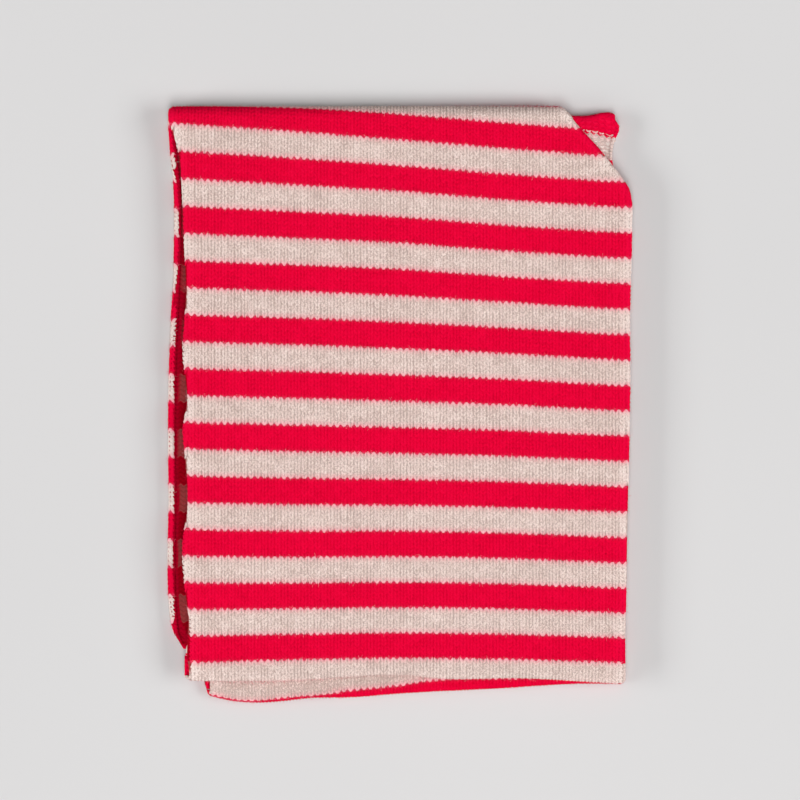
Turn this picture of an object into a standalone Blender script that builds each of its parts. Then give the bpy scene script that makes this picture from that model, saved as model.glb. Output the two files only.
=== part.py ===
"""A knitted, striped neckerchief, folded into a flat packet that lies on a surface.

It is one straight strip with slanted ends, folded crosswise four times. Seen from
above, the folds lie along X, at the packet's far (+Y) and near (-Y) edges:

    tapered end    on the surface, its side edge curled up into a roll on the left
    top layer      joined to the tapered end by the outer fold, at the far edge
    second layer   under the top layer, joined to it by the near fold
    third layer    under the second, joined to it by the inner fold, at the far edge
    fourth layer   on the surface, joined to the third by the lower near fold

Each stretch that shows is a wall of knitted cloth. What lies hidden between them is
one rounded solid, whose sides show the edges of its two layers. Sizes here are in
millimetres, and become metres where the objects are made.
"""

import math

import bmesh
import bpy
import numpy as np

METRE = 0.001

# The cloth
WALL = 2.2  # thickness of the milled knit
GAP = 0.3  # between two stretches of it that meet end to end
LAYER = WALL + 0.4  # from one layer to the next, with the air between them
EDGE_ROUND = 0.7  # how far a free edge rounds out past its last row of stitches
CURLED = 2.9  # width of cloth, at its middle, that curls along a side edge
END_CURLED = 5.7  # the same, on the tapered end
LEAST_CURL = 1.0  # degrees, which is as good as flat

# The packet
FAR_EDGE = 149.1  # outside of the outer fold
FAR_CORNER = (-112.6, 2.4, 4.4)  # where it starts in X, and how far it goes in Y and X
CORNER_REACH = 13.0
HIGH = 12.2  # over the tapered end
LOW = 10.1  # where the tapered end isn't below
TUCK = 10.0  # how far a stretch runs on past its fold, out of sight
MIDDLE = (-0.08, 0.3)  # middle of the packet's outline, which becomes the origin
THIRD_START = -112.0  # where the third and fourth layers come out of the hidden ones

# The tapered end's slanted edge, on the surface
SLANT_TOP = (77.0, 143.2)
SLANT_TIP = (-106.2, -122.6)
END_TIP = -121.4  # where the cloth's tip rounds off
TIP_CURLED = 0.4  # most of the width there that curls

# How finely the walls are divided
CURL_STEPS = 4
FLAT_COLUMNS = 14
NARROW_COLUMNS = 10
ROW_PITCH = 10.5
CLOSER_FROM = 100.0  # rows are twice as close from here to the far corner
OUTER_FOLD_STEPS = 8
FOLD_STEPS = 5

RED = (0.80, 0.004, 0.033)
CREAM = (0.72, 0.58, 0.51)


def table(names, *rows):
    """A short table, as one array of numbers for each named column."""
    return dict(zip(names, np.array(rows, float).T))


# Side edges of each layer, from the near end to the far one. A curl is the angle in
# degrees through which the edge has rolled, towards the purl side of the knit.
TOP_LEFT = table(
    ("y", "x", "curl"),
    (-139.0, -105.6, 8),
    (-133.6, -105.3, 12),
    (-125.0, -106.4, 12),
    (-114.0, -106.2, 30),
    (-104.0, -106.3, 75),
    (-87.6, -108.0, 100),
    (-67.6, -108.6, 100),
    (-54.0, -106.7, 95),
    (-25.0, -107.6, 100),
    (-12.6, -108.6, 100),
    (1.4, -106.7, 90),
    (26.0, -108.6, 100),
    (55.9, -107.1, 95),
    (82.4, -108.1, 100),
    (112.4, -109.4, 100),
    (127.4, -111.1, 100),
    (139.9, -115.0, 95),
    (143.2, -116.0, 95),
)
TOP_RIGHT = table(
    ("y", "x", "curl"),
    (-140.0, 112.4, 8),
    (-130.0, 112.5, 12),
    (-104.0, 113.0, 80),
    (-67.6, 113.5, 95),
    (2.4, 114.9, 95),
    (52.4, 115.0, 95),
    (87.4, 115.9, 90),
    (102.4, 115.9, 75),
    (107.4, 114.9, 60),
    (111.4, 112.4, 55),
    (119.9, 105.9, 50),
    (127.4, 99.9, 50),
    (139.9, 88.4, 50),
    (143.2, 85.8, 50),
)
SECOND_LEFT = table(
    ("y", "x", "curl"),
    (-128.0, -107.8, 10),
    (-122.0, -107.3, 10),
    (-114.0, -103.4, 10),
    (-104.0, -103.2, 10),
    (-60.0, -104.0, 10),
    (0.0, -103.4, 10),
    (60.0, -103.8, 10),
    (110.0, -105.2, 10),
    (128.0, -107.0, 10),
    (143.0, -108.5, 10),
)
SECOND_RIGHT = table(
    ("y", "x", "curl"),
    (-128.0, 109.8, 10),
    (-77.0, 110.6, 10),
    (0.0, 112.0, 10),
    (50.0, 112.3, 10),
    (94.0, 112.9, 10),
    (103.0, 112.2, 15),
    (111.0, 109.2, 20),
    (118.0, 106.9, 30),
    (127.0, 106.5, 50),
    (132.0, 107.6, 60),
    (137.0, 109.8, 65),
    (140.7, 109.4, 60),
    (143.0, 107.6, 50),
)
FOURTH_LEFT = table(
    ("y", "x", "curl"),
    (-146.0, -94.8, 20),
    (-144.0, -96.2, 70),
    (-141.0, -97.5, 120),
    (-136.0, -97.7, 130),
    (-111.0, -97.2, 120),
)
END_LEFT = table(
    ("y", "x", "curl"),
    (-122.6, -108.0, 30),
    (-119.0, -110.6, 70),
    (-113.6, -113.2, 130),
    (-107.6, -114.9, 180),
    (-97.6, -115.9, 200),
    (-85.0, -116.3, 205),
    (-47.6, -115.9, 200),
    (-17.6, -116.1, 205),
    (12.0, -115.9, 200),
    (47.0, -114.5, 195),
    (60.0, -113.7, 190),
    (87.0, -113.1, 190),
    (109.9, -113.5, 190),
    (124.9, -115.1, 185),
    (143.2, -116.2, 150),
)
THIRD_SIDES = (-95.0, 111.6)
THIRD_LOW_LEFT = -97.0  # where the third layer's fold meets the fourth's left edge
FOURTH_RIGHT = 110.6

# Outsides of the inner fold and of the two near folds, from left to right
INNER_FOLD = table(
    ("x", "y"),
    (-110.0, 145.2),
    (-20.0, 145.2),
    (60.0, 145.1),
    (76.0, 144.9),
    (88.0, 144.4),
    (94.4, 144.6),
    (99.0, 145.6),
    (102.6, 146.3),
    (105.2, 145.8),
    (107.0, 144.0),
)
NEAR_FOLD = table(
    ("x", "y"),
    (-106.0, -137.6),
    (-85.0, -138.1),
    (-40.0, -137.0),
    (-27.0, -136.0),
    (-14.0, -135.1),
    (3.0, -135.2),
    (22.0, -136.8),
    (60.0, -136.4),
    (90.0, -138.1),
    (112.0, -139.6),
)
LOWER_FOLD = table(
    ("x", "y"),
    (-97.0, -144.6),
    (-92.0, -146.3),
    (-84.0, -148.0),
    (-73.0, -148.9),
    (-58.0, -148.1),
    (-46.0, -146.7),
    (-25.0, -146.3),
    (0.0, -144.4),
    (50.0, -141.8),
    (90.0, -139.5),
    (112.0, -139.6),
)

# Side edges of the two layers inside the hidden solid
HIDDEN_SIDES = table(
    ("y", "upper_left", "lower_left", "upper_right", "lower_right"),
    (-112.0, -96.5, -98.5, 110.4, 108.6),
    (-60.0, -98.0, -99.5, 109.0, 110.2),
    (0.0, -98.4, -97.0, 111.0, 109.0),
    (60.0, -99.6, -98.0, 110.4, 111.2),
    (100.0, -100.8, -99.0, 110.6, 108.8),
    (115.0, -101.8, -100.6, 105.0, 103.4),
    (131.0, -103.0, -101.4, 103.4, 101.6),
)
HIDDEN_EDGE_ROUND = 0.8
HIDDEN_GROOVE = 2.4  # how deep the groove between the two edges goes

# Low, broad rises and hollows in the upper face, left by folding
ROLLS = table(
    ("x", "y", "size", "reach"),
    (-70.0, 28.0, 0.30, 34.0),
    (-20.0, 96.0, -0.28, 40.0),
    (52.0, -38.0, 0.26, 44.0),
    (-44.0, -84.0, -0.24, 38.0),
    (84.0, 48.0, -0.22, 36.0),
)
# Corners of the packet that sink, as they have less below them
SINKS = table(
    ("x", "y", "size", "reach"),
    (112.0, 148.0, 1.2, 60.0),
    (-118.0, -148.0, 3.0, 26.0),
)
# Where the top layer stands higher off the second, over its own curled edge
LIFTS = table(
    ("x", "y", "size", "reach"),
    (103.0, 127.0, 1.4, 60.0),
    (-116.0, -128.0, 1.4, 26.0),
)


def read(rows, key, name, at):
    """The smooth value of a table's column at a place along its key column."""
    x, y = rows[key], rows[name]
    slope = np.gradient(y, x)
    at = np.clip(at, x[0], x[-1])
    i = np.clip(np.searchsorted(x, at) - 1, 0, len(x) - 2)
    step = x[i + 1] - x[i]
    t = (at - x[i]) / step
    from_start = (1 + 2 * t) * (1 - t) ** 2 * y[i] + t * (1 - t) ** 2 * step * slope[i]
    from_end = t**2 * (3 - 2 * t) * y[i + 1] + t**2 * (t - 1) * step * slope[i + 1]
    return from_start + from_end


def blended(first, second, share):
    return first + (second - first) * share


def ease(t):
    t = np.clip(t, 0, 1)
    return t * t * (3 - 2 * t)


def bumps(rows, x, y):
    """The sum of a table's round bumps, each falling to nothing at its reach."""
    total = 0.0
    for centre_x, centre_y, size, reach in zip(*rows.values()):
        total = total + size * ease(1 - np.hypot(x - centre_x, y - centre_y) / reach)
    return total


def past_slant(x, y):
    """Distance to the right of the tapered end's slanted edge."""
    run, rise = np.subtract(SLANT_TOP, SLANT_TIP)
    across_slant = (x - SLANT_TIP[0]) * rise - (y - SLANT_TIP[1]) * run
    return across_slant / math.hypot(run, rise)


def round_corner(x, y, share=1.0):
    """Y, moved back towards the far fold's left corner, which is round."""
    start, drop, reach = FAR_CORNER
    near_fold = ease((y - FAR_EDGE) / CORNER_REACH + 1.5)
    return y - drop * ease((start - x) / reach) * near_fold * share


def packet_top(x, y):
    """Height of the upper face of the top layer."""
    over_end = ease((35 - past_slant(x, y)) / 60)
    return LOW + (HIGH - LOW) * over_end + bumps(ROLLS, x, y) - bumps(SINKS, x, y)


def second_top(x, y):
    """Height of the upper face of the second layer."""
    return packet_top(x, y) - LAYER - bumps(LIFTS, x, y)


def third_top(x, y):
    """Height of the upper face of the third layer, and of the hidden solid."""
    return second_top(x, y) - LAYER


def hidden_base(x, y):
    """Height of the hidden solid's lower face: on the surface, or on the tapered end."""
    return LAYER * ease((30 - past_slant(x, y)) / 16)


def stations(far, near):
    """Rows that every layer shares between two places in Y, so that their faces lie parallel."""
    ends = 0.4 * ROW_PITCH
    shared = np.arange(0, FAR_EDGE, ROW_PITCH)
    closer = shared[shared > CLOSER_FROM] - ROW_PITCH / 2
    shared = np.sort(np.concatenate([shared[1:], -shared, closer]))[::-1]
    return shared[(shared < far - ends) & (shared > near + ends)]


def curled(angle, width):
    """How far a curling edge goes sideways and out of its plane, at steps from its start,
    and how far its outside reaches sideways."""
    turned = math.radians(max(angle, LEAST_CURL))
    radius = width / turned
    steps = turned * np.arange(1, CURL_STEPS + 1) / CURL_STEPS
    steepest = min(turned, math.pi / 2)
    reach = (radius + WALL / 2) * math.sin(steepest) + EDGE_ROUND * math.cos(steepest)
    return radius * np.sin(steps), radius * (1 - np.cos(steps)), reach


def across(left, right, left_curl, right_curl, columns=FLAT_COLUMNS, width=CURLED):
    """The columns of one row: where the flat cloth is read, each one's x, and its curl's
    depth. A curl of None is a flat edge."""
    flat_edge = np.zeros(0), np.zeros(0), EDGE_ROUND
    left_out, left_depth, left_reach = flat_edge if left_curl is None else curled(left_curl, width)
    right_out, right_depth, right_reach = flat_edge if right_curl is None else curled(right_curl, width)
    flat = np.linspace(left + left_reach, right - right_reach, columns + 1)
    x = np.concatenate([flat[0] - left_out[::-1], flat, flat[-1] + right_out])
    depth = np.concatenate([left_depth[::-1], np.zeros(len(flat)), right_depth])
    return np.clip(x, flat[0], flat[-1]), x, depth


def edges(left, right, y):
    """The x of two side edges and then their curls, at a place in Y."""
    return [float(read(side, "y", name, y)) for name in ("x", "curl") for side in (left, right)]


def row_of(columns, y, z, lean, curl_side):
    """One row of a wall's middle. `lean` is the cloth's outward direction in Y and Z, and
    `curl_side` is 1 where its edges curl outward and -1 where they curl inward."""
    _, x, depth = columns
    return np.stack(
        [x, y + curl_side * depth * lean[0], z + curl_side * depth * lean[1]],
        axis=1,
    )


def fold_rows(columns_at, outside, top_z, bottom_z, end, steps, curl_side):
    """Rows round a fold, from its top to its bottom. The first four arguments are functions:
    the columns at an angle, then the fold's outside and two heights at an x. `end` is 1 for
    a fold at the far end and -1 at the near one."""
    rows = []
    for angle in np.linspace(math.pi / 2, -math.pi / 2, steps + 1):
        columns = columns_at(angle)
        at = columns[0]
        low = bottom_z(at)
        radius = (top_z(at) - low) / 2
        lean = (end * math.cos(angle), math.sin(angle))
        y = outside(columns[1], angle) - end * (radius + WALL / 2) + radius * lean[0]
        rows.append(row_of(columns, y, low + radius * (1 + lean[1]), lean, curl_side))
    return rows


def top_layer():
    """From under the outer fold, over the packet, and round the near fold to its tuck."""
    far_start = FAR_EDGE - HIGH / 2
    near_start = NEAR_FOLD["y"].max() + LAYER

    def middle_z(x, y):
        return packet_top(x, y) - WALL / 2

    def near_fold(x):
        return read(NEAR_FOLD, "x", "y", x)

    def far_columns(angle):
        below = 0.5 - angle / math.pi
        left, right, left_curl, right_curl = edges(TOP_LEFT, TOP_RIGHT, far_start)
        left = blended(left, END_LEFT["x"][-1], below)
        left_curl = blended(left_curl, END_LEFT["curl"][-1], below)
        return across(left, blended(right, SLANT_TOP[0], below), left_curl, right_curl)

    def near_columns(angle):
        below = 0.5 - angle / math.pi
        left, right, left_curl, right_curl = edges(TOP_LEFT, TOP_RIGHT, near_start)
        left = blended(left, SECOND_LEFT["x"][0], below)
        return across(left, blended(right, SECOND_RIGHT["x"][0], below), left_curl, right_curl)

    rows = fold_rows(
        far_columns,
        lambda x, angle: round_corner(x, FAR_EDGE, ease(1 + 2 * angle / math.pi)),
        lambda x: middle_z(x, far_start),
        lambda x: WALL / 2,
        1,
        OUTER_FOLD_STEPS,
        -1,
    )[::-1]
    for y in stations(far_start, near_start):
        columns = across(*edges(TOP_LEFT, TOP_RIGHT, y))
        rounded = round_corner(columns[1], y)
        rows.append(row_of(columns, rounded, middle_z(columns[0], y), (0, 1), -1))
    rows += fold_rows(
        near_columns,
        lambda x, angle: near_fold(x),
        lambda x: middle_z(x, near_fold(x) + LAYER),
        lambda x: second_top(x, near_fold(x) + LAYER) - WALL / 2,
        -1,
        FOLD_STEPS,
        -1,
    )
    columns = near_columns(-math.pi / 2)
    for share in (0.5, 1.0):
        y = near_fold(columns[0]) + LAYER + TUCK * share
        rows.append(row_of(columns, y, second_top(columns[0], y) - WALL / 2, (0, -1), -1))
    return rows


def second_layer():
    """From the third layer's level, round the inner fold, and on to the top layer's tuck."""
    far_start = INNER_FOLD["y"].min() - LAYER
    near_end = NEAR_FOLD["y"].max() + LAYER + TUCK + GAP

    def middle_z(x, y):
        return second_top(x, y) - WALL / 2

    def far_columns(angle):
        flat = (1 + math.sin(angle)) / 2
        left, right, left_curl, right_curl = edges(SECOND_LEFT, SECOND_RIGHT, FAR_EDGE)
        return across(left, right, left_curl * flat, right_curl * flat)

    rows = fold_rows(
        far_columns,
        lambda x, angle: read(INNER_FOLD, "x", "y", x),
        lambda x: middle_z(x, far_start),
        lambda x: middle_z(x, far_start) - LAYER,
        1,
        FOLD_STEPS,
        1,
    )
    columns = far_columns(-math.pi / 2)
    for share in (0.5, 1.0):
        y = far_start - TUCK * share
        rows.append(row_of(columns, y, middle_z(columns[0], y) - LAYER, (0, -1), 1))
    rows.reverse()
    for y in stations(far_start, near_end):
        columns = across(*edges(SECOND_LEFT, SECOND_RIGHT, y))
        rows.append(row_of(columns, y, middle_z(columns[0], y), (0, 1), 1))
    columns = across(*edges(SECOND_LEFT, SECOND_RIGHT, near_end))
    y = read(NEAR_FOLD, "x", "y", columns[0]) + LAYER + TUCK + GAP
    rows.append(row_of(columns, y, middle_z(columns[0], y), (0, 1), 1))
    return rows


def lower_fold(x):
    """The outside of the lower near fold, and where it meets the flat of its two layers."""
    outside = read(LOWER_FOLD, "x", "y", x)
    return outside, outside + third_top(x, outside) / 2


def third_layer():
    """The band that shows beyond the near fold, and its own fold down to the surface."""
    columns = across(*THIRD_SIDES, None, None)
    _, start = lower_fold(columns[0])

    def fold_columns(angle):
        below = 0.5 - angle / math.pi
        left, right = THIRD_SIDES
        return across(blended(left, THIRD_LOW_LEFT, below), right, None, None)

    def middle_z(x, y):
        return third_top(x, y) - WALL / 2

    rows = [
        row_of(columns, y, middle_z(columns[0], y), (0, 1), 0)
        for y in (THIRD_START, *stations(THIRD_START, start.max()))
    ]
    return rows + fold_rows(
        fold_columns,
        lambda x, angle: lower_fold(x)[0],
        lambda x: middle_z(x, start),
        lambda x: WALL / 2,
        -1,
        FOLD_STEPS,
        0,
    )


def fourth_layer():
    """The layer below the third, flat on the surface, its left edge curled up."""
    rows = []
    for share in np.linspace(0, 1, 7):
        typical = blended(THIRD_START, LOWER_FOLD["y"][0] + LAYER, share)
        left, curl = (float(read(FOURTH_LEFT, "y", name, typical)) for name in ("x", "curl"))
        columns = across(left, FOURTH_RIGHT, curl, None)
        _, end = lower_fold(columns[1])
        rows.append(row_of(columns, blended(THIRD_START, end + 2 * GAP, share), WALL / 2, (0, 1), 1))
    return rows


def tapered_end():
    """The strip's slanted end, flat on the surface, its straight side edge rolled up."""
    far_start = FAR_EDGE - HIGH / 2
    rows = []
    for y in (far_start, *stations(far_start, END_TIP), END_TIP):
        left, curl = (float(read(END_LEFT, "y", name, y)) for name in ("x", "curl"))
        reached = (y - SLANT_TIP[1]) / (SLANT_TOP[1] - SLANT_TIP[1])
        right = blended(SLANT_TIP[0], SLANT_TOP[0], reached)
        width = min(END_CURLED, TIP_CURLED * (right - left))
        curl *= width / END_CURLED
        columns = across(left, right, curl, None, NARROW_COLUMNS, width)
        if y == far_start:
            y = FAR_EDGE - packet_top(columns[0], far_start) / 2 - GAP
        rows.append(row_of(columns, y, WALL / 2, (0, 1), 1))
    return rows


def new_object(name, mesh, colour):
    """A mesh in millimetres becomes an object in metres, with its own knitted-cloth material."""
    bmesh.ops.translate(mesh, vec=(-MIDDLE[0], -MIDDLE[1], 0), verts=mesh.verts)
    bmesh.ops.scale(mesh, vec=(METRE, METRE, METRE), verts=mesh.verts)
    bmesh.ops.recalc_face_normals(mesh, faces=mesh.faces)
    data = bpy.data.meshes.new(name)
    mesh.to_mesh(data)
    mesh.free()
    data.shade_smooth()
    data.set_sharp_from_angle(angle=math.radians(50))
    material = bpy.data.materials.new(name + "_knit")
    material.use_nodes = True
    shader = material.node_tree.nodes["Principled BSDF"]
    shader.inputs["Base Color"].default_value = (*colour, 1)
    shader.inputs["Roughness"].default_value = 0.9
    shader.inputs["Metallic"].default_value = 0.0
    data.materials.append(material)
    bpy.context.scene.collection.objects.link(bpy.data.objects.new(name, data))


def grid_faces(mesh, grid):
    """Triangles over a grid of vertices, each cell split the same way."""
    for row, following in zip(grid, grid[1:]):
        for column in range(len(row) - 1):
            a, b = row[column], following[column]
            c, d = following[column + 1], row[column + 1]
            mesh.faces.new((a, b, c))
            mesh.faces.new((a, c, d))


def outline(grid):
    """The points round the outside of a grid, once round."""
    right = [row[-1] for row in grid[1:-1]]
    left = [row[0] for row in grid[-2:0:-1]]
    return [*grid[0], *right, *grid[-1][::-1], *left]


def cloth_wall(name, rows, colour, free_end=False):
    """A closed wall of cloth round the middle points in rows. Its side edges are free and
    round out, and so does its last row where that is free. Its other ends are plain cuts."""
    middle = np.array(rows)
    along, sideways = np.gradient(middle, axis=0), np.gradient(middle, axis=1)
    for end in (0,) if free_end else (0, -1):
        along[end] = (0, np.sign(along[end, 0, 1]), 0)
    outward = np.cross(along, sideways)
    along, sideways, outward = (
        way / np.linalg.norm(way, axis=2, keepdims=True) for way in (along, sideways, outward)
    )
    push = np.zeros_like(middle)
    push[:, 0] -= sideways[:, 0]
    push[:, -1] += sideways[:, -1]
    push[-1] += along[-1] * free_end
    rim = middle + EDGE_ROUND * push / np.maximum(np.linalg.norm(push, axis=2, keepdims=True), 1)

    mesh = bmesh.new()
    upper, lower, edge = (
        [[mesh.verts.new(point) for point in row] for row in points]
        for points in (middle + outward * WALL / 2, middle - outward * WALL / 2, rim)
    )
    for row in edge[1:-1]:
        for vert in row[1:-1]:
            mesh.verts.remove(vert)
    grid_faces(mesh, upper)
    grid_faces(mesh, [row[::-1] for row in lower])
    for first, second in ((outline(upper), outline(edge)), (outline(edge), outline(lower))):
        grid_faces(mesh, [[*first, first[0]], [*second, second[0]]])
    new_object(name, mesh, colour)


def layered_side(upper, lower, high, low, outward):
    """Points down the side of two cloth edges, one over the other."""
    middle = (high + low) / 2
    quarter = (high - low) / 4
    groove = (min(upper * outward, lower * outward) - HIDDEN_GROOVE) * outward
    rounded = outward * HIDDEN_EDGE_ROUND
    return [
        (upper - rounded, high),
        (upper, middle + 1.35 * quarter),
        (upper, middle + 0.65 * quarter),
        (groove, middle),
        (lower, middle - 0.65 * quarter),
        (lower, middle - 1.35 * quarter),
        (lower - rounded, low),
    ]


def hidden_layers():
    """The stretches that lie out of sight, as one rounded solid with layered sides."""
    far = INNER_FOLD["y"].min() - LAYER - TUCK - GAP
    near = THIRD_START + GAP
    inset = 2 * HIDDEN_GROOVE
    mesh = bmesh.new()
    rows = []
    for y in (far, *stations(far, near), near):
        side = {name: float(read(HIDDEN_SIDES, "y", name, y)) for name in HIDDEN_SIDES}
        flat_left = min(side["upper_left"], side["lower_left"]) + inset
        flat_right = max(side["upper_right"], side["lower_right"]) - inset
        x = np.linspace(flat_left, flat_right, FLAT_COLUMNS + 1)
        top, base = third_top(x, y), hidden_base(x, y)
        right = layered_side(side["upper_right"], side["lower_right"], top[-1], base[-1], 1)
        left = layered_side(side["upper_left"], side["lower_left"], top[0], base[0], -1)
        round_it = [*zip(x, top), *right, *zip(x[::-1], base[::-1]), *left[::-1]]
        rows.append([mesh.verts.new((x, y, z)) for x, z in round_it])
    grid_faces(mesh, [[*row, row[0]] for row in rows])
    caps = [mesh.faces.new(rows[0]), mesh.faces.new(rows[-1][::-1])]
    bmesh.ops.triangulate(mesh, faces=caps, ngon_method="EAR_CLIP")
    new_object("hidden_layers", mesh, CREAM)


def main():
    for found in list(bpy.data.objects):
        bpy.data.objects.remove(found)
    cloth_wall("top_layer", top_layer(), RED)
    cloth_wall("second_layer", second_layer(), CREAM)
    cloth_wall("third_layer", third_layer(), CREAM)
    cloth_wall("fourth_layer", fourth_layer(), RED)
    cloth_wall("tapered_end", tapered_end(), RED, free_end=True)
    hidden_layers()


main()
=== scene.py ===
"""A folded, striped, knitted neckerchief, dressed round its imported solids.

The cloth is one strip of stockinette. Each stretch of it is worked out as the middle of a
wall, as rows of points in millimetres, with the place of each point on the flat strip.
From these come a closed shell, and the stitches and fibres that lie on its faces.
"""

import math

import bmesh
import bpy
import numpy as np
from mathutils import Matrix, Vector


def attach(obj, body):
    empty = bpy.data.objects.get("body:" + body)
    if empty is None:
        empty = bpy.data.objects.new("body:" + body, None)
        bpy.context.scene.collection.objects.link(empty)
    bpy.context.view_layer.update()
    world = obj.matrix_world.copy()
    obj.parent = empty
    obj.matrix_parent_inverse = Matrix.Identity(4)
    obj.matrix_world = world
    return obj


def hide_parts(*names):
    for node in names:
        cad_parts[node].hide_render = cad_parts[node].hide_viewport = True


METRE = 0.001
TURN = 2 * math.pi
MIDDLE = (-0.08, 0.3)  # the packet's middle, in the sizes below

# The cloth
WALL = 2.2
GAP = 0.3  # left where one stretch takes over from another
LAYER = WALL + 0.4  # from one layer to the next
EDGE_ROUND = 0.7  # how far a rounded rim reaches past the last column
CURLED = 2.9  # how much of the cloth's width turns with a curled edge
END_CURLED = 5.7  # and with the tapered end's rolled one
LEAST_CURL = 1.0  # in degrees, as every curl is

# The packet
FAR_EDGE = 149.1
FAR_CORNER = (-112.6, 2.4, 4.4)  # where it starts in X, and how far it goes in Y and X
CORNER_REACH = 13.0  # the length in Y over which that rounding grows
HIGH = 12.2  # how high the packet is over the tapered end
LOW = 10.1  # and beyond it
TUCK = 10.0  # how far a stretch runs on, out of sight, past its last fold
TUCK_SHARES = (0.25, 0.5, 0.75, 1.0)
THIRD_START = -112.0  # where the third and fourth layers come out of the hidden ones

# The tapered end's slanted edge
SLANT_TOP = (77.0, 143.2)
SLANT_TIP = (-106.2, -122.6)
END_TIP = -121.4  # its last row, just short of the tip
TIP_CURLED = 0.4  # the share of its width that curls there

# The knit, on the flat strip
WALE = 3.3
COURSE = 2.2167
STRIPE_COURSES = 6
STRIPE = COURSE * STRIPE_COURSES
SHELL_RIGHT = 0.74  # how far the shell lies out from the middle on its V side, under stitches
SHELL_PURL = 0.95  # and on its purl side
RIM_OUT = 0.72  # where its rounded rim turns, as a share of how far it reaches out
RIM_UP = 0.74  # and of how far it reaches up and down
RIM_RELIEF = 0.35  # how much of their height stitches keep at an edge
RIM_FLAT = 1.5  # how far in they stay so low
RIM_RISE = 4.0  # and over how much more they rise to full height
# How far in from the left edge the red yarn that is carried up it shows, and how strongly. This
# is partly painted shade: the hollow by the rolled edge and the top layer's rim are darkened, to
# brown over oatmeal where it is below 1
CARRIED_AND_SHADE = {"top_layer": [(2.2, 0.9)], "tapered_end": [(9.6, 1.0), (14, 0.9)]}
CARRIED_FADE = 1.5  # over how much it fades
PAINTED_SHADE_BY_STRETCH = {"second_layer": -1.9, "third_layer": 0.9}  # painted shade: how much darker a stretch's yarn is painted, and painted light where it is below 0

# How finely the cloth is divided
CURL_STEPS = 8
FLAT_COLUMNS = 64
NARROW_COLUMNS = 48
ROW_PITCH = 2.625
OUTER_FOLD_STEPS = 20
FOLD_STEPS = 12
FOURTH_ROWS = 19
HIDDEN_ROWS = 100
HIDDEN_TURN_STEPS = 9

# Colours, as linear light
RED = (0.800, 0.0008, 0.040, 1)
RED_DEEP = (0.735, 0.0006, 0.034, 1)
RED_LIGHT = (0.845, 0.0030, 0.050, 1)
# painted shade: the red that shows between and under stitches
RED_UNDER_SHADE = (0.69, 0.0005, 0.030, 1)
# the red yarn carried up the left edge, darkened as painted shade
RED_CARRIED_SHADED = (0.52, 0.0006, 0.022, 1)
# painted shade: the deepest red, between stitches near a change of stripe and in the hollow by
# the left edge
RED_PAINTED_SHADE = (0.32, 0.0003, 0.004, 1)
OATMEAL = (0.785, 0.605, 0.558, 1)
# the oatmeal's deep tone, which is also its painted shade between and under stitches
OATMEAL_DEEP_AND_SHADE = (0.475, 0.360, 0.316, 1)
OATMEAL_LIGHT = (0.915, 0.800, 0.742, 1)
TABLE_TONES = ((0.650, 0.643, 0.643, 1), (0.670, 0.662, 0.662, 1))
# Each yarn's blushes where it meets the other, and for red a painted shade between the other
# yarn's teeth: how steeply one fades, how strong it is, how much more of it is between the other
# yarn's teeth than on them, and its colour
RED_BLUSH_AND_SHADE = (
    (13.0, 1.0, 0.0, (0.77, 0.065, 0.16, 1)),
    # painted shade: dark red in the notches between the oatmeal's teeth
    (9.0, 0.3, -1.0, (0.40, 0.0004, 0.018, 1)),
)
OATMEAL_BLUSH = (
    (4.0, 1.0, -0.3, (0.785, 0.323, 0.33, 1)),
    (8.0, 1.0, 0.0, (0.98, 0.47, 0.54, 1)),
)
# The yarns in the order of their stripes: colour, tones, blushes with red's painted shade, loose
# fibres on a square metre, and how near to a change of stripe these crowd, as a share of a stripe
YARNS = (
    ("red", (RED_DEEP, RED, RED_LIGHT), RED_BLUSH_AND_SHADE, 2.2e6, 0.11),
    ("oatmeal", (OATMEAL_DEEP_AND_SHADE, OATMEAL, OATMEAL_LIGHT), OATMEAL_BLUSH, 0.9e6, 0.06),
)
YARN_STOPS = (0.15, 0.5, 0.85)  # where these three tones lie on the yarn's own scale
CLOTH_STOPS = (0.25, 0.55, 0.85)  # and on the cloth's
# What makes a yarn's tone uneven: what it goes by, the middle of that, and how much it counts.
# The first is painted light on a yarn's raised middle and painted shade at its sides, the last
# painted light near curled rims less each stretch's painted shade
YARN_TONES = (("ridge", 0.5, 0.16), ("tone", 0.5, 0.14), ("tint", 0.0, 0.18))
TANGLE_SHARE = 3.0  # and how much the wool's tangle counts
BLOTCHES = (2.1, 2.4)  # a blush's strength, less so much of the wool's tone
UNDER_PURL = 0.15  # how much painted shade the cloth takes under purl bumps, where it is 1 under V stitches
UNDER_SHARE = 0.7  # how much of the darker painted shade it takes there
UNDER_STEEP = 8.0  # how steeply that painted shade deepens towards a change of stripe
RUN_STOPS = (0.88, 1.0)  # from the painted shade to the carried yarn's shaded red
EDGE_WAVE = 0.22  # how far a stripe's edge waves on the shell, in courses
BUMP_DEPTH = 0.00018  # of the rows of purl bumps in its surface, in metres
BUMP_STRENGTH = 0.8

# Wool
ROUGH = 0.95
SHINE = 0.02
FINE_SCALE = 1400.0
YARN_SCALE = 2300.0
SOFT_SCALE = 55.0
SOFT_SHARE = 0.06  # how much of its tone is soft blotches, the rest being fine
TANGLE_DEPTH = 0.00012

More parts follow.
